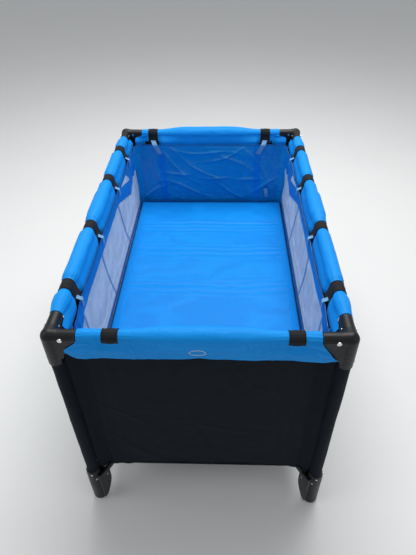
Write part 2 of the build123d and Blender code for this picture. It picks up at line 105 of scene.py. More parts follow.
# ------------------------------------------------------------------ node helpers
class Mat:
    """A material's node tree with short calls for the nodes it is made from."""

    def __init__(self, name):
        self.mat = bpy.data.materials.new(name)
        self.mat.use_nodes = True
        self.tree = self.mat.node_tree
        self.bsdf = self.tree.nodes["Principled BSDF"]
        self.coord = self.tree.nodes.new("ShaderNodeTexCoord").outputs["Object"]

    def node(self, kind, **sockets):
        n = self.tree.nodes.new(kind)
        for key, value in sockets.items():
            self.put(n.inputs[key], value)
        return n

    def put(self, socket, value):
        if isinstance(value, bpy.types.NodeSocket):
            self.tree.links.new(value, socket)
        else:
            socket.default_value = value

    def scaled(self, x, y, z):
        n = self.node("ShaderNodeMapping", Vector=self.coord)
        n.inputs["Scale"].default_value = (x, y, z)
        return n.outputs["Vector"]

    def noise(self, scale, detail=3.0, rough=0.55, vector=None):
        n = self.node("ShaderNodeTexNoise", Vector=vector or self.coord)
        n.inputs["Scale"].default_value = scale
        n.inputs["Detail"].default_value = detail
        n.inputs["Roughness"].default_value = rough
        return n.outputs["Fac"]

    def bands(self, direction, pitch, distortion=0.0):
        n = self.node("ShaderNodeTexWave", Vector=self.coord)
        n.bands_direction = direction
        n.inputs["Scale"].default_value = 0.31416 / pitch
        n.inputs["Distortion"].default_value = distortion
        n.inputs["Detail"].default_value = 1.0
        return n.outputs["Fac"]

    def math(self, op, a, b=0.0, clamp=False):
        n = self.tree.nodes.new("ShaderNodeMath")
        n.operation = op
        n.use_clamp = clamp
        self.put(n.inputs[0], a)
        self.put(n.inputs[1], b)
        return n.outputs[0]

    def ramp(self, value, low, high, a, b):
        n = self.tree.nodes.new("ShaderNodeMapRange")
        self.put(n.inputs["Value"], value)
        n.inputs["From Min"].default_value = low
        n.inputs["From Max"].default_value = high
        n.inputs["To Min"].default_value = a
        n.inputs["To Max"].default_value = b
        return n.outputs["Result"]

    def mix(self, fac, a, b):
        n = self.tree.nodes.new("ShaderNodeMix")
        n.data_type = "RGBA"
        self.put(n.inputs["Factor"], fac)
        self.put(n.inputs["A"], a if isinstance(a, bpy.types.NodeSocket) else (*a, 1))
        self.put(n.inputs["B"], b if isinstance(b, bpy.types.NodeSocket) else (*b, 1))
        return n.outputs["Result"]

    def bump(self, height, strength, distance, normal=None):
        n = self.tree.nodes.new("ShaderNodeBump")
        n.inputs["Strength"].default_value = strength
        n.inputs["Distance"].default_value = distance
        self.put(n.inputs["Height"], height)
        if normal is not None:
            self.put(n.inputs["Normal"], normal)
        return n.outputs["Normal"]

    def weave(self, pitch):
        """Threads both ways: on any flat face one of the three directions is constant."""
        total = self.math("ADD", self.bands("X", pitch), self.bands("Y", pitch))
        return self.math("MULTIPLY", self.math("ADD", total, self.bands("Z", pitch)), 0.4)

    def set(self, **values):
        for key, value in values.items():
            self.put(self.bsdf.inputs[key.replace("_", " ")], value)
        return self.mat


def cloth(
    name, dark, mid, light, pitch, rough, sheen, sheen_tint, wrinkle, wrinkle_scale, weave_depth, gloss=0.14
):
    m = Mat(name)
    weave = m.weave(pitch)
    broad = m.noise(5.0, 4.0)
    fine = m.noise(90.0, 3.0)
    tone = m.math("ADD", m.math("MULTIPLY", broad, 0.7), m.math("MULTIPLY", fine, 0.3))
    colour = m.mix(m.ramp(tone, 0.3, 0.7, 0.0, 1.0), mid, light)
    colour = m.mix(m.ramp(weave, 0.35, 0.75, 0.35, 0.0), colour, dark)
    creases = m.noise(wrinkle_scale, 5.0, 0.6, m.scaled(1.0, 0.55, 1.6))
    folds = m.bump(creases, wrinkle, 0.004)
    normal = m.bump(weave, weave_depth, 0.0004, folds)
    return m.set(
        Base_Color=colour,
        Roughness=m.ramp(tone, 0.2, 0.8, rough - 0.06, rough + 0.08),
        Sheen_Weight=sheen,
        Sheen_Roughness=0.45,
        Sheen_Tint=(*sheen_tint, 1),
        Specular_IOR_Level=gloss,
        Normal=normal,
    )


BLUE = cloth("blue_nylon", (0.0, 0.115, 0.44), (0.002, 0.255, 0.74), (0.005, 0.30, 0.81),
             0.0011, 0.52, 0.03, (0.4, 0.7, 1.0), 0.5, 26.0, 0.35)
LINING = cloth("blue_lining", (0.0, 0.11, 0.34), (0.0, 0.225, 0.58), (0.001, 0.27, 0.66),
               0.0009, 0.25, 0.02, (0.4, 0.7, 1.0), 1.0, 20.0, 0.2, 0.75)
BAND = cloth("blue_band", (0.0, 0.10, 0.38), (0.001, 0.21, 0.66), (0.002, 0.25, 0.74),
             0.0010, 0.50, 0.03, (0.4, 0.7, 1.0), 0.5, 22.0, 0.3)
MATTRESS = cloth("mattress_nylon", (0.0, 0.12, 0.47), (0.001, 0.245, 0.72), (0.003, 0.28, 0.78),
                 0.0012, 0.46, 0.03, (0.4, 0.7, 1.0), 0.6, 16.0, 0.3)
OXFORD = cloth("navy_oxford", (0.0020, 0.0032, 0.0055), (0.0055, 0.0090, 0.0135), (0.0085, 0.0135, 0.0195),
               0.0016, 0.72, 0.03, (0.5, 0.6, 0.8), 0.6, 14.0, 0.6, 0.10)


def net_material():
    m = Mat("pale_mesh")
    pitch = 0.0026
    total = m.math("ADD", m.bands("Y", pitch), m.bands("Z", pitch))
    total = m.math("ADD", total, m.bands("X", pitch))
    holes = m.ramp(m.math("MULTIPLY", total, 0.5), 0.55, 0.95, 0.97, 0.52)
    tone = m.noise(24.0, 4.0, vector=m.scaled(1.0, 2.5, 0.6))
    colour = m.mix(m.ramp(tone, 0.3, 0.7, 0.0, 1.0), (0.56, 0.68, 0.80), (0.76, 0.85, 0.93))
    normal = m.bump(total, 0.5, 0.0005)
    rough = m.ramp(tone, 0.3, 0.7, 0.75, 0.9)
    m.set(Base_Color=colour, Roughness=rough, Sheen_Weight=0.2, Sheen_Roughness=0.5, Normal=normal, Alpha=holes)
    m.mat.surface_render_method = "BLENDED"
    return m.mat


def plastic_material():
    m = Mat("black_plastic")
    grain = m.noise(1400.0, 2.0)
    smudge = m.noise(14.0, 4.0)
    geometry = m.tree.nodes.new("ShaderNodeNewGeometry").outputs["Pointiness"]
    edge = m.ramp(geometry, 0.52, 0.62, 0.0, 1.0)
    worn = m.math("MULTIPLY", edge, m.ramp(m.noise(120.0, 3.0), 0.4, 0.6, 0.2, 0.9), clamp=True)
    colour = m.mix(m.ramp(smudge, 0.3, 0.7, 0, 1), (0.0042, 0.0046, 0.0056), (0.0080, 0.0086, 0.0100))
    colour = m.mix(worn, colour, (0.030, 0.031, 0.034))
    rough = m.ramp(smudge, 0.3, 0.7, 0.34, 0.48)
    normal = m.bump(grain, 0.22, 0.0004)
    return m.set(Base_Color=colour, Roughness=rough, Specular_IOR_Level=0.30, Normal=normal)


def tube_material():
    m = Mat("painted_tube")
    peel = m.noise(420.0, 2.0)
    smudge = m.noise(9.0, 4.0)
    scratch = m.noise(60.0, 6.0, 0.7, m.scaled(6.0, 6.0, 0.4))
    colour = m.mix(m.ramp(scratch, 0.66, 0.74, 0.0, 0.5), (0.008, 0.0085, 0.010), (0.030, 0.031, 0.034))
    rough = m.ramp(smudge, 0.3, 0.7, 0.30, 0.44)
    normal = m.bump(peel, 0.12, 0.0004)
    return m.set(Base_Color=colour, Roughness=rough, Coat_Weight=0.15, Coat_Roughness=0.3, Normal=normal)


def steel_material():
    m = Mat("rivet_steel")
    brushed = m.noise(600.0, 3.0)
    dull = m.noise(180.0, 4.0)
    colour = m.mix(m.ramp(dull, 0.35, 0.65, 0.0, 1.0), (0.80, 0.80, 0.79), (0.58, 0.585, 0.59))
    rough = m.ramp(brushed, 0.3, 0.7, 0.18, 0.34)
    return m.set(Base_Color=colour, Metallic=1.0, Roughness=rough, Normal=m.bump(brushed, 0.1, 0.0003))


def webbing_material(name, dark, light, pitch):
    m = Mat(name)
    ribs = m.weave(pitch)
    tone = m.noise(60.0, 3.0)
    colour = m.mix(m.ramp(ribs, 0.3, 0.8, 0.0, 1.0), dark, light)
    colour = m.mix(m.ramp(tone, 0.35, 0.7, 0.0, 0.35), colour, light)
    return m.set(
        Base_Color=colour,
        Roughness=m.ramp(tone, 0.3, 0.7, 0.62, 0.8),
        Sheen_Weight=0.03,
        Sheen_Roughness=0.5,
        Specular_IOR_Level=0.15,
        Normal=m.bump(ribs, 0.9, 0.0008),
    )


NET = net_material()
PLASTIC = plastic_material()
TUBE = tube_material()
STEEL = steel_material()
WEBBING = webbing_material("black_webbing", (0.0035, 0.0035, 0.0042), (0.016, 0.017, 0.020), 0.0026)
RIBBON = webbing_material("pale_ribbon", (0.10, 0.28, 0.52), (0.24, 0.45, 0.70), 0.0016)
PIPING = webbing_material("dark_piping", (0.001, 0.07, 0.28), (0.003, 0.12, 0.42), 0.0014)
THREAD = webbing_material("white_thread", (0.55, 0.62, 0.68), (0.80, 0.84, 0.88), 0.0007)

SLOT_MATERIAL = {
    "painted_tube": TUBE, "black_plastic": PLASTIC, "rivet_steel": STEEL, "black_webbing": WEBBING,
    "dark_fabric": OXFORD, "mesh": NET, "blue_fabric": BLUE, "mattress_fabric": MATTRESS,
}
for sub in frame["record"]["subparts"]:
    node = NODES[sub["node"]]
    node.data.materials.clear()
    node.data.materials.append(SLOT_MATERIAL[sub["material_slot"]])
    for polygon in node.data.polygons:
        polygon.material_index = 0


# ------------------------------------------------------------------ mesh helpers
def n3(x, y, z, seed=0.0):
    return noise.noise(Vector((x + 17.3 * seed, y - 9.1 * seed, z + 4.7 * seed)))


def fractal(x, y, z, seed=0.0, octaves=4):
    total, size, gain = 0.0, 1.0, 1.0
    for _ in range(octaves):
        total += gain * n3(x * size, y * size, z * size, seed)
        size *= 2.03
        gain *= 0.5
    return total


def smooth(a, b, t):
    t = min(1.0, max(0.0, (t - a) / (b - a)))
    return t * t * (3 - 2 * t)


def lerp(points, x):
    """A value on the polyline points = ((x0, v0), (x1, v1), ...)."""
    if x <= points[0][0]:
        return points[0][1]
    for (x0, v0), (x1, v1) in zip(points, points[1:]):
        if x <= x1:
            return v0 + (v1 - v0) * (x - x0) / (x1 - x0)
    return points[-1][1]


def finish_mesh(name, verts, faces, material):
    mesh = bpy.data.meshes.new(name)
    mesh.from_pydata([tuple(v) for v in verts], [], faces)
    mesh.update()
    obj = bpy.data.objects.new(name, mesh)
    scene.collection.objects.link(obj)
    mesh.materials.append(material)
    mesh.shade_smooth()
    return obj


def sheet(name, place, nu, nv, thick, material, wrap=False):
    """A closed cloth of the given thickness: place(u, v), both 0 to 1, is its outer face."""
    count_u = nu if wrap else nu + 1
    grid = np.array([[place(i / nu, j / nv) for j in range(nv + 1)] for i in range(count_u)], float)
    if wrap:
        du = np.roll(grid, -1, 0) - np.roll(grid, 1, 0)
    else:
        du = np.gradient(grid, axis=0)
    dv = np.gradient(grid, axis=1)
    normal = np.cross(du, dv)
    length = np.linalg.norm(normal, axis=2, keepdims=True)
    normal = normal / np.maximum(length, 1e-12)
    inner = grid - normal * thick
    verts = np.concatenate([grid.reshape(-1, 3), inner.reshape(-1, 3)])
    half = count_u * (nv + 1)

    def at(i, j, side):
        return side * half + (i % count_u) * (nv + 1) + j

    faces = []
    for i in range(nu):
        for j in range(nv):
            faces.append((at(i, j, 0), at(i + 1, j, 0), at(i + 1, j + 1, 0), at(i, j + 1, 0)))
            faces.append((at(i, j, 1), at(i, j + 1, 1), at(i + 1, j + 1, 1), at(i + 1, j, 1)))
        faces.append((at(i, 0, 0), at(i, 0, 1), at(i + 1, 0, 1), at(i + 1, 0, 0)))
        faces.append((at(i, nv, 0), at(i + 1, nv, 0), at(i + 1, nv, 1), at(i, nv, 1)))
    if not wrap:
        for j in range(nv):
            faces.append((at(0, j, 0), at(0, j + 1, 0), at(0, j + 1, 1), at(0, j, 1)))
            faces.append((at(nu, j, 0), at(nu, j, 1), at(nu, j + 1, 1), at(nu, j + 1, 0)))
    obj = finish_mesh(name, verts, faces, material)
    rims = set()
    for i in range(count_u):
        for j, k in ((0, 0), (nv, nv)):
            for layer in (0, 1):
                rims.add(frozenset((at(i, j, layer), at(i + 1, k, layer))))
    if not wrap:
        for j in range(nv):
            for i in (0, nu):
                for layer in (0, 1):
                    rims.add(frozenset((at(i, j, layer), at(i, j + 1, layer))))
    for edge in obj.data.edges:
        if frozenset(edge.vertices) in rims:
            edge.use_edge_sharp = True
    return obj


def rod(name, points, radius, material, sides=8):
    """A round cord or piping along a line of points."""
    pts = [Vector(p) for p in points]
    verts, faces = [], []
    side = None
    for i, p in enumerate(pts):
        along = (pts[min(i + 1, len(pts) - 1)] - pts[max(i - 1, 0)]).normalized()
        if side is None:
            side = along.orthogonal().normalized()
        side = (side - along * side.dot(along)).normalized()
        other = along.cross(side)
        for k in range(sides):
            a = 2 * math.pi * k / sides
            verts.append(p + radius * (math.cos(a) * side + math.sin(a) * other))
    for i in range(len(pts) - 1):
        for k in range(sides):
            a, b = i * sides + k, i * sides + (k + 1) % sides
            faces.append((a, b, b + sides, a + sides))
    faces.append(tuple(reversed(range(sides))))
    faces.append(tuple(range((len(pts) - 1) * sides, len(pts) * sides)))
    return finish_mesh(name, verts, faces, material)


def join(name, objs):
    """One object from several, each keeping its own material."""
    bpy.ops.object.select_all(action="DESELECT")
    for o in objs:
        o.select_set(True)
    bpy.context.view_layer.objects.active = objs[0]
    if len(objs) > 1:
        bpy.ops.object.join()
    objs[0].name = name
    return objs[0]


# ------------------------------------------------------------------ cloth round the rails
# where the straps' middles lie along each rail, the same as in the CAD
STRAPS = {
    "front": (-0.192, 0.212),
    "back": (-0.222, 0.211),
    "left": (-0.377, -0.118, 0.155, 0.370),
    "right": (-0.377, -0.118, 0.155, 0.370),
}
STRAP_WIDTH = 0.036
STRAP_OFF = 0.0030  # a strap's radius round the rail is this much more than the cover's
STRAP_WRAP = math.radians(214)  # how far round the rail a strap reaches
# from the rail's middle down to the level of a strap's lower end
STRAP_DROP = {"front": 0.046, "back": 0.046, "left": 0.034, "right": 0.034}
SLEEVE_INSET = 0.0016  # the sleeve lies this far inside the cover
COVER_OVER_LATCH, SLEEVE_OVER_LATCH = 0.0224, 0.0208
SEED = {"front": 1.0, "back": 2.0, "left": 3.0, "right": 4.0}
HALF = {"front": ARM_X, "back": ARM_X, "left": ARM_Y, "right": ARM_Y}
ENDS = {
    "front": ("left", "right"), "back": ("left", "right"),
    "left": ("front", "back"), "right": ("front", "back"),
}
WAIST = 0.0142  # cover's radius where a strap or a bracket holds it
# cover's radius where it is fullest
FULL = {"front": 0.0222, "back": 0.0240, "left": 0.0200, "right": 0.0184}


def on_rail(side, s, out, z):
    """A point beside a rail: s along it, out away from the playpen's middle, z up."""
    if side == "front":
        return (s, -LEG_Y - out, z)
    if side == "back":
        return (s, LEG_Y + out, z)
    if side == "left":
        return (-LEG_X - out, s, z)
    return (LEG_X + out, s, z)


def pinch(side, s):
    """Distance from the middle of the nearest strap."""
    return min(abs(s - q) for q in STRAPS[side])


def swell(side, s):
    """0 where a strap or a bracket draws the cloth in, 1 where it is fullest."""
    reach = 0.125 if side in ("front", "back") else 0.040
    return smooth(0.018, reach, pinch(side, s)) * smooth(-0.004, 0.045, HALF[side] - abs(s))


# along the rail from its middle: where the cloth starts to widen, and where it is wide enough for the latch
LATCH_ENDS = (0.075, 0.048)


def over_latch(s, r, least):
    """The cloth is never drawn in tighter than the latch housing inside it."""
    return r + max(0.0, least - r) * smooth(*LATCH_ENDS, abs(s))


def cover_radius(side, s, angle):
    """From the rail's middle to the cover; angle 0 is outward, 90 degrees is up."""
    w, p, seed = swell(side, s), pinch(side, s), SEED[side]
    r = WAIST + (FULL[side] - WAIST) * w
    near = math.exp(-max(0.0, p - 0.017) / 0.020) + 0.6 * math.exp(-max(0.0, HALF[side] - abs(s)) / 0.014)
    free = smooth(0.016, 0.026, p)
    r += 0.0011 * near * free * math.sin(13 * angle + 4 * n3(s * 9, angle * 0.7, 0, seed) + 30 * p)
    r += 0.0009 * w * fractal(s * 13, math.cos(angle) * 1.2, math.sin(angle) * 1.2, seed, 3)
    return over_latch(s, r, COVER_OVER_LATCH)


def sleeve(side, low, high, name):
    def place(u, v):
        angle = 2 * math.pi * u
        s = low + (high - low) * v
        r = max(0.0124, WAIST - SLEEVE_INSET + (FULL[side] - WAIST) * swell(side, s))
        r = over_latch(s, r, SLEEVE_OVER_LATCH)
        return on_rail(side, s, r * math.cos(angle), RAIL_Z + r * math.sin(angle))

    thick = 0.0009 if side in ("back", "left") else -0.0009
    return sheet(name, place, 40, int((high - low) / 0.006), thick, BLUE, wrap=True)


for side, ends in ENDS.items():
    end = HALF[side] - 0.003
    centre = Vector(on_rail(side, 0, 0, RAIL_Z))
    along_rail = Vector((1, 0, 0)) if side in ("front", "back") else Vector((0, 1, 0))
    for sign, which in ((-1, ends[0]), (1, ends[1])):
        piece = sleeve(side, -end if sign < 0 else 0.0, 0.0 if sign < 0 else end, f"sleeve_{side}_{which}")
        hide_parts(f"rail_sleeve_{side}")
        start, stop = centre + sign * 0.045 * along_rail, centre + sign * 0.004 * along_rail
        tuple(start)
        tuple(stop)
        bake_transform(piece)


OUTER_DROP, INNER_DROP = 0.055, 0.039  # from the rail's middle down to the cover's two hems


def outer_hem(side, s):
    z = RAIL_Z - OUTER_DROP + 0.0022 * n3(s * 5, 0, 0, SEED[side]) + 0.0012 * n3(s * 17, 1, 0, SEED[side])
    return z + 0.0035 * math.exp(-(s / 0.018) ** 2)


def inner_hem(side, s):
    lift = 0.008 * math.exp(-(pinch(side, s) / 0.03) ** 2)
    return RAIL_Z - INNER_DROP + 0.004 * n3(s * 6, 2, 0, SEED[side]) + lift


# the cover's least distance from the rail's middle line beside the brackets, on its inner and outer side
MOUTH_IN, MOUTH_OUT = 0.0172, 0.0176
HEM_OUT, HEM_TUCK = 0.0215, 0.0062  # how far out the flap hangs, and how far its hem turns back in
# how far the flap's ends reach past the brackets' mouths, by height
LEFT_EDGE = (
    (RAIL_Z - 0.055, 0.005), (RAIL_Z - 0.047, 0.018), (RAIL_Z - 0.036, 0.029), (RAIL_Z - 0.027, 0.031),
    (RAIL_Z - 0.018, 0.019), (RAIL_Z - 0.006, 0.004), (RAIL_Z, 0.0),
)
RIGHT_EDGE = (
    (RAIL_Z - 0.054, 0.040), (RAIL_Z - 0.044, 0.031), (RAIL_Z - 0.026, 0.018), (RAIL_Z - 0.008, 0.005),
    (RAIL_Z, 0.0),
)


def cover_wrinkles(side, s, z):
    """Creases that fan out below the straps, and slack folds along the hem."""
    total = 0.0
    for i, q in enumerate(STRAPS[side]):
        for sgn in (-1, 1):
            for k in range(4):
                a = math.radians(8 + 17 * k + 9 * math.sin(i * 3 + k + sgn))
                du = sgn * (s - q) - 0.018
                dz = RAIL_Z + 0.004 - 0.006 * k - z
                along_it = du * math.cos(a) + dz * math.sin(a)
                across = -du * math.sin(a) + dz * math.cos(a) + 0.002 * math.sin(along_it * 60 + k)
                if along_it > 0:
                    strength = math.exp(-along_it / 0.05) * smooth(0.0, 0.012, along_it)
                    total += 0.0029 * strength * math.exp(-(across / 0.0042) ** 2)
    held = (1 - smooth(0.018, 0.027, pinch(side, s))) * (1 - smooth(0.010, 0.018, RAIL_Z - z))
    low = smooth(0.010, 0.045, RAIL_Z - z)
    return total * (1 - held) + low * 0.0030 * fractal(s * 9, z * 12, 0, SEED[side], 4)


def cover(side):
    """The hanging cover of one rail: up from the inner hem, over the top and down to the outer hem."""
    half = HALF[side] - 0.002
    left_edge = LEFT_EDGE if side == "front" else RIGHT_EDGE

    def place(u, v):
        s = half * (2 * u - 1)
        z_in, z_out = inner_hem(side, s), outer_hem(side, s)
        r = cover_radius(side, s, math.pi / 2)
        inner, arc, outer = RAIL_Z - z_in, math.pi * r, RAIL_Z - z_out
        d = v * (inner + arc + outer)
        if d < inner:
            z = z_in + d
            low = smooth(0.0, 0.026, RAIL_Z - z)
            r = cover_radius(side, s, math.pi)
            grip = 1 - smooth(0.018, 0.040, pinch(side, s))
            reach = 0.0262 - 0.0062 * grip if side in ("left", "right") else 0.0275 - 0.0090 * grip
            out = -(r + (reach - r) * low + 0.0009 * low * n3(s * 14, z * 9, 0, SEED[side] + 5))
            drop = RAIL_Z - z
            tail = 0.026 * smooth(0.001, 0.011, drop) * smooth(0.055, 0.0, half - abs(s))
            if half - abs(s) < 0.02 and drop > 0.002:
                out = min(out, -MOUTH_IN)
            return on_rail(side, s + math.copysign(tail, s), out, z)
        if d < inner + arc:
            a = math.pi - (d - inner) / r
            r = cover_radius(side, s, a)
            return on_rail(side, s, r * math.cos(a), RAIL_Z + r * math.sin(a))
        z = RAIL_Z - (d - inner - arc)
        drop = RAIL_Z - z
        grip = 1 - smooth(0.017, 0.027, pinch(side, s))
        hem_out = HEM_OUT - 0.0032 * smooth(0.03, 0.0, half - abs(s))
        low = smooth(0.010 * grip, 0.034, drop)
        r = cover_radius(side, s, 0.0)
        out = r + (hem_out - r) * low + cover_wrinkles(side, s, z)
        out -= HEM_TUCK * smooth(0.016, 0.054, drop) * smooth(0.005, 0.06, half - abs(s))
        tail = lerp(left_edge if u < 0.5 else RIGHT_EDGE, z)
        stretch = smooth(0.055, 0.0, half - abs(s))
        least = MOUTH_OUT if abs(s) > half - 0.03 and drop > 0.004 else 0
        return on_rail(side, s + math.copysign(tail * stretch, s), max(out, least), z)

    flip = -1 if side in ("front", "right") else 1
    return sheet(f"rail_cover_{side}", place, int(2 * half / 0.0036), 72, flip * -0.0010, BLUE)


# ------------------------------------------------------------------ outer walls and the cloth round the legs
WALL_BODY = {"front": "leg_fl", "left": "leg_fl", "right": "leg_fr", "back": "leg_bl"}


def fold_piece(piece, side):
    """Hangs the cloth of one side on its leg's body and gives it a mesh of its own."""
    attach(piece, WALL_BODY[side])
    if side in ("front", "back"):
        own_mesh(piece)
    else:
        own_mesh(piece)


WALL_TOP = RAIL_Z - 0.023
SHOE_TOP = 0.160


def wall_surface(side, s, z):
    """A point of an outer wall; s runs along the side. The cloth turns out to the leg at each end."""
    seed = SEED[side]
    half, plane, sharp = (EDGE_X, PANEL_Y, 4.2) if side in ("front", "back") else (EDGE_Y, PANEL_X, 3.6)
    edge = smooth(0.034, 0.0, half - abs(s))
    tuck = math.exp(-((half - abs(s) - 0.030) / 0.010) ** 2)
    wave = 0.0032 * fractal(s * sharp, 0.4, z * 3.1, seed, 4)
    stretch = 0.0016 * math.sin((half - abs(s)) * 150 + 2.5 * n3(0, 0, z * 4, seed))
    stretch *= smooth(0.16, 0.03, half - abs(s))
    pull = 0.0014 * math.sin(s * 46 + 7 * n3(s * 2, 0, z * 3, seed)) * smooth(0.09, 0.0, z - PANEL_Z0)
    for k in range(5):
        a = 0.7 + 0.5 * math.sin(k * 2.1 + seed)
        cs, cz = 0.7 * half * math.sin(k * 2.3 + seed * 2), 0.40 + 0.16 * math.cos(k * 1.7 + seed)
        du = (s - cs) * math.cos(a) - (z - cz) * math.sin(a)
        dw = (s - cs) * math.sin(a) + (z - cz) * math.cos(a) + 0.006 * math.sin(du * 18 + k)
        wave += 0.0016 * math.exp(-abs(dw) / 0.006) * math.exp(-(du / 0.11) ** 2)
    level = 0.25 + 0.75 * smooth(0.0, 0.05, WALL_TOP - z)
    wave, stretch = wave * level, stretch * level
    leg_face = (LEG_Y if side in ("front", "back") else LEG_X) - 0.0045
    out = plane + (leg_face - plane) * edge - 0.0016 * tuck + (wave + stretch + pull) * (1 - edge)
    return (s, math.copysign(out, -1 if side == "front" else 1), z) if side in ("front", "back") else \
        (math.copysign(out, -1 if side == "left" else 1), s, z)


SHOE_INSET = 0.0092


def wall_half(side, z):
    """Half the wall's width; it passes inboard of the shoes at the bottom."""
    half = EDGE_X if side in ("front", "back") else EDGE_Y
    return half - SHOE_INSET * smooth(0.012, -0.004, z - SHOE_TOP)


def wall_hem(side, s):
    half = EDGE_X if side in ("front", "back") else EDGE_Y
    return PANEL_Z0 - 0.003 + 0.018 * (1 - (s / half) ** 2) + 0.0015 * n3(s * 20, 0, 0, SEED[side])


def end_panel(side):
    def place(u, v):
        s = EDGE_X * (2 * u - 1)
        z0 = wall_hem(side, s)
        z = z0 + (WALL_TOP - z0) * v
        return wall_surface(side, (2 * u - 1) * wall_half(side, z), z)

    return sheet(f"panel_{side}", place, 190, 140, 0.0011 if side == "front" else -0.0011, OXFORD)


def wall_line(side, points, radius, material, name, out=0.0):
    """Piping along points (s, z) of an outer wall."""
    line = []
    for s, z in points:
        p = Vector(wall_surface(side, s, z))
        if side in ("front", "back"):
            p.y += math.copysign(out, p.y)
        else:
            p.x += math.copysign(out, p.x)
        line.append(p)
    return rod(name, line, radius, material, 6)


def hem_points(side, count):
    half = wall_half(side, PANEL_Z0)
    places = [half * (2 * i / count - 1) for i in range(count + 1)]
    return [(s, wall_hem(side, s) + 0.001) for s in places]


def side_strip(side, name, low, high, n, m, material, lift=0.0):
    """Part of a side wall between the curves low and high, which give (s, z)."""

    def place(u, v):
        (s0, z0), (s1, z1) = low(u), high(u)
        p = Vector(wall_surface(side, s0 + (s1 - s0) * v, z0 + (z1 - z0) * v))
        p.x += lift * math.copysign(1, p.x)
        return tuple(p)

    return sheet(name, place, n, m, -0.0010 if side == "right" else 0.0010, material)


WIN_S, WIN_Z0, WIN_Z1 = EDGE_Y - 0.090, 0.262, 0.636
WIN_SQUARE = 9  # 2 would make the window an ellipse, a higher number makes its corners sharper
WIN_MID, WIN_H = (WIN_Z0 + WIN_Z1) / 2, (WIN_Z1 - WIN_Z0) / 2


def window(u):
    """The mesh window's rounded outline."""
    a = 2 * math.pi * u - 0.75 * math.pi
    c, s = math.cos(a), math.sin(a)
    k = (abs(c) ** WIN_SQUARE + abs(s) ** WIN_SQUARE) ** (-1 / WIN_SQUARE)
    return (WIN_S * c * k, WIN_MID + WIN_H * s * k)


def side_border(side):
    def border(u):
        a = 2 * math.pi * u - 0.75 * math.pi
        c, s = math.cos(a), math.sin(a)
        k = 1 / max(abs(c), abs(s))
        y, t = c * k, s * k
        low = wall_hem(side, y * EDGE_Y)
        z = WIN_MID + t * ((WALL_TOP - WIN_MID) if t > 0 else (WIN_MID - low))
        return (y * wall_half(side, z), z)

    return border


for side in ("front", "back"):
    hem = [end_panel(side), wall_line(side, hem_points(side, 90), 0.0020, OXFORD, "hem")]
    panel = join(f"outer_wall_{side}", hem)
    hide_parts(f"wall_{side}")
    fold_piece(panel, side)
for side in ("left", "right"):
    rim = [window(i / 320) for i in range(321)]
    panel = join(f"outer_wall_{side}", [
        side_strip(side, "frame", window, side_border(side), 320, 14, OXFORD),
        wall_line(side, rim, 0.0024, PIPING, "binding", 0.0004),
        wall_line(side, hem_points(side, 140), 0.0020, OXFORD, "hem"),
    ])
    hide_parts(f"wall_{side}")
    fold_piece(panel, side)
    net = side_strip(side, f"outer_net_{side}", lambda u: (WIN_S * (2 * u - 1), WIN_Z0),
                     lambda u: (WIN_S * (2 * u - 1), WIN_Z1), 150, 60, NET, lift=-0.0012)
    fold_piece(net, side)
for side in ("front", "back", "left", "right"):
    pieces = [cover(side)]
    if side == "front":
        # plain stitched ring where a hand presses to find the latch
        ring = []
        for i in range(49):
            a = 2 * math.pi * i / 48
            s = -0.002 + 0.0185 * math.cos(a)
            z = RAIL_Z - 0.031 + (0.0125 if i < 24 else 0.0080) * math.sin(a)
            drop = RAIL_Z - z
            r = cover_radius(side, s, 0.0)
            out = r + (HEM_OUT - r) * smooth(0.0, 0.034, drop) + cover_wrinkles(side, s, z)
            out -= HEM_TUCK * smooth(0.016, 0.054, drop)
            ring.append(on_rail(side, s, out + 0.0007, z))
        pieces.append(rod("press_ring", ring, 0.0010, THREAD, 6))
    skirt = join(f"rail_cover_{side}", pieces)
    fold_piece(skirt, side)


def leg_wrap(corner, sx, sy):
    """The walls' cloth sewn round one leg, from the bracket down to the shoe."""
    seed = 30 + 3 * sx + sy
    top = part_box(f"corner_bracket_{corner}")[0].z - 0.001

    def place(u, v):
        a = 2 * math.pi * u
        z = SHOE_TOP - 0.0005 + (top - SHOE_TOP) * v
        ripple = 0.0005 * math.sin(3 * a + 9 * n3(0, 0, z * 5, seed))
        ripple += 0.0006 * n3(math.cos(a), math.sin(a), z * 22, seed)
        r = WRAP_R + ripple + 0.0012 * smooth(0.02, 0.0, z - SHOE_TOP)
        return (sx * LEG_X + r * math.cos(a), sy * LEG_Y + r * math.sin(a), z)

    return sheet(f"leg_wrap_{corner}", place, 28, 90, -0.0008, OXFORD, wrap=True)


for corner, sx, sy in (("fl", -1, -1), ("fr", 1, -1), ("bl", -1, 1), ("br", 1, 1)):
    piece = leg_wrap(corner, sx, sy)
    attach(piece, f"leg_{corner}")

# ------------------------------------------------------------------ bassinet walls
CORNER = 0.032
TUB_Z0 = tub_low.z
RIM = RAIL_Z - 0.030
WALL_SEED = {"left": 11.0, "right": 12.0, "front": 13.0, "back": 14.0}
RUN_X, RUN_Y = TUB_X - CORNER, TUB_Y - CORNER
END_HALF = RUN_X + CORNER * math.pi / 2


def tub_side(side, t, z):
    """A point of a long wall at y = t."""
    rise = (z - TUB_Z0) / (RIM - TUB_Z0)
    seed = WALL_SEED[side]
    bulge = 0.0035 * math.sin(math.pi * min(1, max(0, rise)))
    below_rim = smooth(0.0, 0.05, RIM - z)
    ripple = 0.0022 * fractal(t * 7, z * 5, 0, seed, 3) * (0.3 + 0.7 * below_rim)
    near_end = smooth(0.10, 0.0, RUN_Y - abs(t))
    fold = 0.0042 * math.sin(abs(t) * 190 + 3 * n3(0, 0, z * 6, seed)) * near_end * below_rim
    free = 0.25 + 0.75 * smooth(0.0, 0.03, z - MAT_Z)
    x = TUB_X - 0.0035 * (1 - rise) - 0.0015 + (bulge + ripple - fold - 0.003 * near_end) * free
    return (x if side == "right" else -x, t, z)


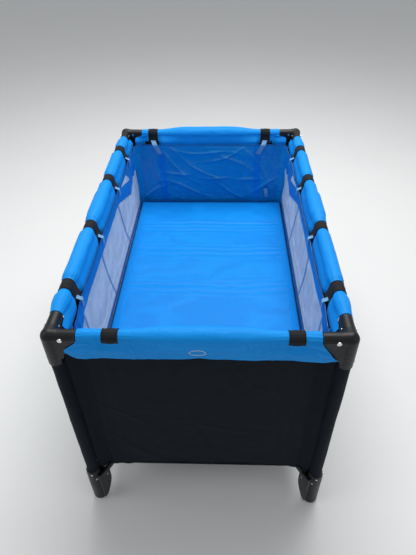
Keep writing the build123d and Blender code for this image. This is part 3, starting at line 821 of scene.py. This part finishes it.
# creases of an end wall: place along it, height, slope in radians, length
CREASES = (
    (-0.16, 0.63, -0.75, 0.14), (-0.20, 0.56, -1.2, 0.07), (-0.05, 0.60, -0.62, 0.16),
    (0.02, 0.555, -0.15, 0.07), (0.10, 0.62, -0.55, 0.11), (0.19, 0.60, -0.95, 0.09),
    (-0.10, 0.51, -0.30, 0.10), (0.08, 0.50, -0.45, 0.10), (0.05, 0.65, 0.35, 0.08),
    (-0.02, 0.665, -0.08, 0.13), (0.22, 0.52, 0.5, 0.05), (-0.23, 0.49, 0.6, 0.06),
    (0.15, 0.545, 0.2, 0.05), (-0.13, 0.575, 0.1, 0.05),
)


def tub_end(side, w, z):
    """A point of an end wall; w runs along it and round both corners."""
    seed = WALL_SEED[side]
    rise = (z - TUB_Z0) / (RIM - TUB_Z0)
    crease = 0.0
    for k, (cx, cz, a, reach) in enumerate(CREASES):
        cx = cx if side == "back" else -cx
        du = (w - cx) * math.cos(a) + (z - cz) * math.sin(a)
        dw = -(w - cx) * math.sin(a) + (z - cz) * math.cos(a) + 0.010 * math.sin(du * 22 + k)
        crease += 0.0052 * math.exp(-abs(dw) / 0.0050) * math.exp(-(du / reach) ** 2)
    free = smooth(0.0, 0.02, z - MAT_Z) * smooth(0.0, 0.02, RIM - z)
    off = (0.0042 * fractal(w * 6, z * 7, 0, seed, 4) - crease) * (0.15 + 0.85 * free)
    off = off - 0.004 * (1 - rise) - 0.002
    if abs(w) <= RUN_X:
        x, y, nx, ny = w, TUB_Y, 0.0, 1.0
    else:
        a = (abs(w) - RUN_X) / CORNER
        nx, ny = math.copysign(math.sin(a), w), math.cos(a)
        x, y = math.copysign(RUN_X, w) + CORNER * nx, TUB_Y - CORNER + CORNER * ny
    x, y = x + off * nx, y + off * ny
    return (x, y if side == "back" else -y, z)


def tub_strip(side, name, low, high, n, m, material, lift, thick=0.0009):
    """Part of a long wall between two curves of u, lifted off the wall towards the inside."""

    def place(u, v):
        (t0, z0), (t1, z1) = low(u), high(u)
        p = Vector(tub_side(side, t0 + (t1 - t0) * v, z0 + (z1 - z0) * v))
        p.x -= math.copysign(lift, p.x)
        return tuple(p)

    return sheet(name, place, n, m, -thick if side == "right" else thick, material)


def rim_height(t):
    return RIM - 0.006 + 0.010 * math.exp(-(min(abs(t - q) for q in STRAPS["left"]) / 0.045) ** 2)


def along(t0, t1, height):
    """A curve from t0 to t1 at that height."""
    return lambda u: (t0 + (t1 - t0) * u, height(t0 + (t1 - t0) * u))


def slanted(top, foot, across):
    """The straight line from top to foot, moved across along the wall."""
    return lambda u: (top[0] + (foot[0] - top[0]) * u + across, top[1] + (foot[1] - top[1]) * u)


# the mesh's upper edge in a long wall (y, z), and the small three-cornered window above it
WINDOW_TOP = (
    (-RUN_Y, 0.604), (-0.43, 0.616), (-0.385, 0.654), (0.13, 0.654), (0.155, 0.646), (0.341, 0.572),
    (0.385, 0.588), (0.425, 0.606), (RUN_Y, 0.612),
)
TAPES = (
    ((0.122, 0.655), (0.196, 0.448)), ((-0.150, 0.655), (-0.095, 0.448)), ((-0.392, 0.648), (-0.350, 0.448)),
)
TAPE_WIDTH = 0.0075
TRI_LEFT, TRI_TOP, TRI_RIGHT = (0.184, 0.684), (0.296, 0.678), (0.355, 0.626)

for side in ("left", "right"):
    lower = lambda t: lerp(WINDOW_TOP, t)
    slant = lambda t: lerp((TRI_LEFT, TRI_RIGHT), t)
    peak = lambda t: lerp((TRI_LEFT, TRI_TOP, TRI_RIGHT), t)
    a, b = TRI_LEFT[0], TRI_RIGHT[0]
    pieces = [
        tub_strip(side, "band", along(-RUN_Y, a, lower), along(-RUN_Y, a, rim_height), 150, 8, BAND, 0.0012),
        tub_strip(side, "band", along(a, b, lower), along(a, b, slant), 50, 8, BAND, 0.0012),
        tub_strip(side, "band", along(a, b, peak), along(a, b, rim_height), 50, 8, BAND, 0.0012),
        tub_strip(side, "band", along(b, RUN_Y, lower), along(b, RUN_Y, rim_height), 50, 12, BAND, 0.0012),
    ]
    for height, radius in ((rim_height, 0.0020), (lambda t: MAT_Z - 0.003, 0.0030)):
        pts = []
        for i in range(200):
            t = RUN_Y * (2 * i / 199 - 1)
            p = Vector(tub_side(side, t, height(t)))
            p.x -= math.copysign(0.0022, p.x)
            pts.append(p)
        pieces.append(rod("piping", pts, radius, PIPING, 6))
    trim = join(f"bassinet_band_{side}", pieces)
    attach(trim, "bassinet")
    # slanted seam tapes in the mesh
    tapes = []
    for top, foot in TAPES:
        edges = slanted(top, foot, 0.0), slanted(top, foot, TAPE_WIDTH)
        tapes.append(tub_strip(side, "tape", *edges, 30, 3, RIBBON, 0.0011, 0.0006))
    tape = join(f"bassinet_tapes_{side}", tapes)
    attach(tape, "bassinet")
    net = tub_strip(side, f"bassinet_net_{side}", along(-RUN_Y, RUN_Y, lambda t: TUB_Z0 + 0.003),
                    along(-RUN_Y, RUN_Y, lambda t: rim_height(t) - 0.003), 300, 60, NET, 0.0)
    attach(net, "bassinet")

for side in ("front", "back"):
    inward = -1 if side == "back" else 1

    def end_wall(u, v, side=side):
        top = RIM - 0.003 + 0.002 * n3(u * 9, 0, 0, 5)
        return tub_end(side, END_HALF * (2 * u - 1), TUB_Z0 + 0.002 + (top - TUB_Z0 - 0.002) * v)

    pieces = [sheet(f"bassinet_wall_{side}", end_wall, 260, 120, 0.0010 * inward, LINING)]
    for x0 in (-0.208, 0.168):
        def band(u, v, side=side, x0=x0, inward=inward):
            z = TUB_Z0 + 0.006 + (RIM - 0.012 - TUB_Z0) * v
            p = Vector(tub_end(side, x0 + 0.026 * u + 0.010 * (1 - v), z))
            return tuple(p + Vector((0, 0.0009 * inward, 0)))

        pieces.append(sheet("seam_band", band, 6, 90, 0.0005 * inward, BAND))
    pts = [tuple(Vector(tub_end(side, END_HALF * (2 * i / 139 - 1), RIM - 0.004))) for i in range(140)]
    pieces.append(rod("rim", pts, 0.0020, PIPING, 6))
    wall = join(f"bassinet_wall_{side}", pieces)
    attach(wall, "bassinet")

# bassinet floor under the mattress
base = sheet(
    "bassinet_floor",
    lambda u, v: (-(TUB_X - 0.006) + 2 * (TUB_X - 0.006) * u, -(TUB_Y - 0.010) + 2 * (TUB_Y - 0.010) * v,
                  TUB_Z0 + 0.0022 + 0.0006 * n3(u * 7, v * 11, 0, 3)), 60, 100, 0.0012, OXFORD)
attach(base, "bassinet")
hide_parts("bassinet_tub")

# ------------------------------------------------------------------ webbing strap hooks
strap_parts = []
tab_parts = []
for side, places in STRAPS.items():
    wall = TUB_Y if side in ("front", "back") else TUB_X
    gap = (LEG_Y if side in ("front", "back") else LEG_X) - wall - 0.0012
    for q in places:
        end_z = RAIL_Z - STRAP_DROP[side]

        def hook(u, v, side=side, q=q, end_z=end_z, gap=gap, lift=0.0):
            """v runs from the tub's wall, up over the covered rail and in under its outer side."""
            r = WAIST + STRAP_OFF + lift
            down, arc = RAIL_Z - end_z, STRAP_WRAP * r
            d = v * (down + arc)
            s = q + STRAP_WIDTH * (u - 0.5)
            crown = 0.0005 * math.cos(math.pi * (2 * u - 1))
            if d < down:
                z = end_z + d
                out = -gap + (gap - r) * smooth(0.0, down, d)
                return on_rail(side, s, out - crown, z)
            a = math.pi - (d - down) / r
            return on_rail(side, s, (r + crown) * math.cos(a), RAIL_Z + (r + crown) * math.sin(a))

        flip = -1 if side in ("front", "right") else 1
        strap_parts.append(sheet("strap", hook, 10, 72, flip * 0.0014, WEBBING))
        for edge in (0.03, 0.97):
            line = [hook(edge, 0.25 + 0.75 * k / 40, lift=0.0003) for k in range(41)]
            strap_parts.append(rod("strap_edge", line, 0.0007, WEBBING, 6))
        lean = 0.0 if side in ("left", "right") else 0.026 * math.copysign(1, -q)
        width = 0.012 if side in ("left", "right") else 0.018
        tab_gap, depth = gap - 0.0005, 0.028 if side in ("left", "right") else 0.050

        def tab(u, v, side=side, q=q, lean=lean, width=width, tab_gap=tab_gap, depth=depth):
            s = q + width * (u - 0.5) + lean * v - (0.010 if side in ("left", "right") else 0.0)
            inward = -0.0040 + 0.0135 * smooth(0.0, 0.30, v)
            return on_rail(side, s, -tab_gap - inward, RIM + 0.012 - depth * v)

        tab_parts.append(sheet("tab", tab, 5, 14, flip * 0.0007, RIBBON))
straps = join("strap_hooks", strap_parts)
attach(straps, "bassinet")
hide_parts("bassinet_straps")


def loose_tab(u, v):
    """A short ribbon end low on the back wall, near its right corner."""
    x = 0.216 + 0.015 * u + 0.006 * v
    return (x, TUB_Y - 0.0150 - 0.0015 * math.sin(math.pi * v), 0.512 - 0.036 * v)


tab_parts.append(sheet("loose_tab", loose_tab, 5, 14, 0.0007, RIBBON))
tabs = join("strap_tabs", tab_parts)
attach(tabs, "bassinet")


# ------------------------------------------------------------------ mattress
def apply_modifiers(obj):
    """Replace the object's mesh by what its modifiers make of it."""
    depsgraph = bpy.context.evaluated_depsgraph_get()
    mesh = bpy.data.meshes.new_from_object(obj.evaluated_get(depsgraph))
    obj.modifiers.clear()
    obj.data = mesh


def block(name, low, high, corner, step):
    """Rounded box with a regular grid of points on every face."""
    bm = bmesh.new()
    bmesh.ops.create_cube(bm, size=1.0)
    mesh = bpy.data.meshes.new(name)
    bm.to_mesh(mesh)
    bm.free()
    obj = bpy.data.objects.new(name, mesh)
    scene.collection.objects.link(obj)
    size = Vector(high) - Vector(low)
    mid = (Vector(high) + Vector(low)) / 2
    for v in mesh.vertices:
        v.co = Vector((v.co.x * size.x, v.co.y * size.y, v.co.z * size.z)) + mid
    bevel = obj.modifiers.new("round", "BEVEL")
    bevel.width = corner
    bevel.segments = 4
    remesh = obj.modifiers.new("grid", "REMESH")
    remesh.mode = "VOXEL"
    remesh.voxel_size = step
    apply_modifiers(obj)
    return obj


pad_low = (mat_low.x + 0.002, mat_low.y + 0.002, mat_low.z + 0.001)
pad_high = (mat_high.x - 0.002, mat_high.y - 0.002, mat_high.z - 0.003)
pad = block("mattress_pad", pad_low, pad_high, 0.008, 0.0055)
pad.data.materials.clear()
pad.data.materials.append(MATTRESS)
start = np.array([v.co for v in pad.data.vertices], float)
cloth_mod = pad.modifiers.new("cloth", "CLOTH")
cloth_mod.settings.use_pressure = True
cloth_mod.settings.uniform_pressure_force = 4
cloth_mod.settings.effector_weights.gravity = 0
cloth_mod.settings.quality = 4
scene.frame_start, scene.frame_end = 1, 20
for f in range(1, 21):
    scene.frame_set(f)
apply_modifiers(pad)
after = np.array([v.co for v in pad.data.vertices], float)
move = after - start
length = np.linalg.norm(move, axis=1, keepdims=True)
move *= np.minimum(1, 0.004 / np.maximum(length, 1e-9))
for v, co in zip(pad.data.vertices, start + move):
    v.co = co
scene.frame_set(1)

# creases in groups across the pad, where the boards inside it fold
FOLDS = ((0.315, 1.0), (0.268, 0.5), (0.150, 0.9), (0.118, 0.5), (-0.050, 1.0), (-0.082, 0.6), (-0.300, 0.6))
for v in pad.data.vertices:
    x, y, z = v.co
    top = smooth(mat_low.z + 0.012, mat_high.z - 0.004, z)
    edge = smooth(0.0, 0.03, mat_high.x - abs(x)) * smooth(0.0, 0.03, mat_high.y - abs(y))
    dz = 0.0016 * fractal(x * 4, y * 7, 0, 21, 4)
    for k, (fold, depth) in enumerate(FOLDS):
        middle = fold + 0.007 * n3(x * 5, fold, 0, 2) + 0.004 * n3(x * 14, fold, 0, 3)
        fade = 0.55 + 0.45 * math.sin(x * 7 + k * 2.2)
        dz -= 0.0034 * depth * fade * math.exp(-abs(y - middle) / 0.0045)
        ripple = math.sin((y - middle) * 260 + 3 * n3(x * 6, y * 3, 0, 6))
        dz += 0.0010 * depth * ripple * math.exp(-((y - fold) / 0.03) ** 2)
    v.co.z = z + top * edge * dz
subdivide = pad.modifiers.new("smooth", "SUBSURF")
subdivide.levels = subdivide.render_levels = 1
apply_modifiers(pad)
pad.data.shade_smooth()
bead = []
for z in (mat_low.z + 0.003, mat_high.z - 0.0035):
    hx, hy, r = mat_high.x - 0.0015, mat_high.y - 0.0015, 0.030
    line = []
    turns = ((hx - r, hy - r, 0), (-hx + r, hy - r, 90), (-hx + r, -hy + r, 180), (hx - r, -hy + r, 270))
    for cx, cy, a0 in turns:
        for k in range(9):
            a = math.radians(a0 + 90 * k / 8)
            line.append((cx + r * math.cos(a), cy + r * math.sin(a), z))
    line.append(line[0])
    bead.append(rod("bead", line, 0.0018, PIPING, 6))
pad = join("mattress_pad", [pad] + bead)
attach(pad, "bassinet")
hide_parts("mattress")

# ------------------------------------------------------------------ lower tub's floor, in gores round the hub
gores = 20
hole = 0.048
fx, fy = floor_high.x, floor_high.y
fz = floor_high.z
for k in range(gores):
    a0, a1 = 2 * math.pi * k / gores, 2 * math.pi * (k + 1) / gores

    def place(u, v, a0=a0, a1=a1, k=k):
        a = a0 + (a1 - a0) * u
        c, s = math.cos(a), math.sin(a)
        reach = 1 / max(abs(c) / fx, abs(s) / fy)
        r = hole + (reach - hole) * v
        return (r * c, r * s, fz - 0.0002 + 0.0006 * n3(r * c * 9, r * s * 9, 0, 9))

    gore = sheet(f"tub_floor_gore_{k:02d}", place, 6, 24, -0.0010, OXFORD)
    ring = [place(i / 12, 1) for i in range(13)] + [place(1 - i / 12, 0) for i in range(13)]
    width = math.dist(place(0, 1), place(1, 1))
    length = max(math.dist(place(u, 0), place(u, 1)) for u in (0, 0.5, 1))
    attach(gore, "hub")
    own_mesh(gore)
    if k == 0:
        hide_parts("tub_floor")

# webbing pull loop on the hub
loop_low, loop_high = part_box("hub_pull_strap")
lw = (loop_high.x - loop_low.x) / 2 - 0.001
lh = (loop_high.z - loop_low.z) / 2 - 0.001
lz = (loop_high.z + loop_low.z) / 2


def loop_place(u, v):
    a = 2 * math.pi * u
    n = 3.0
    c, s = math.cos(a), math.sin(a)
    k = (abs(c) ** n + abs(s) ** n) ** (-1 / n)
    return (lw * c * k, -0.0122 + 0.0244 * v, lz + lh * s * k)


loop = sheet("hub_pull_loop", loop_place, 72, 8, -0.0018, WEBBING, wrap=True)
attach(loop, "hub")
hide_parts("hub_pull_strap")

# ------------------------------------------------------------------ studio
def stage_material(name, colour):
    m = Mat(name)
    tone = m.noise(3.0, 4.0)
    shade = m.mix(m.ramp(tone, 0.3, 0.7, 0, 1), tuple(c * 0.985 for c in colour), colour)
    return m.set(Base_Color=shade, Roughness=0.9)


def plane(name, corners, material):
    obj = finish_mesh(name, corners, [(0, 1, 2, 3)], material)
    return obj


PALE = stage_material("studio_pale", (0.80, 0.80, 0.79))
plane("studio_floor", [(-60, -60, 0), (60, -60, 0), (60, 60, 0), (-60, 60, 0)], PALE)

world = bpy.data.worlds.new("studio")
world.use_nodes = True
world.node_tree.nodes["Background"].inputs["Color"].default_value = (0.93, 0.96, 1.0, 1)
world.node_tree.nodes["Background"].inputs["Strength"].default_value = 0.44
scene.world = world
scene.view_settings.view_transform = "Standard"


def area_light(name, where, target, size, power, colour=(1, 1, 1)):
    data = bpy.data.lights.new(name, "AREA")
    data.shape = "RECTANGLE"
    data.size, data.size_y = size
    data.energy = power
    data.color = colour
    obj = bpy.data.objects.new(name, data)
    scene.collection.objects.link(obj)
    obj.location = where
    obj.rotation_euler = (Vector(target) - Vector(where)).to_track_quat("-Z", "Y").to_euler()


area_light("ceiling", (0.2, 0.9, 3.0), (0, 0.1, 0.5), (2.2, 1.8), 82)
area_light("window", (-2.4, -1.0, 2.4), (0, 0, 0.4), (1.8, 1.8), 14, (0.97, 0.985, 1.0))
area_light("fill", (2.2, -2.0, 1.8), (0, 0, 0.4), (1.8, 1.8), 6)
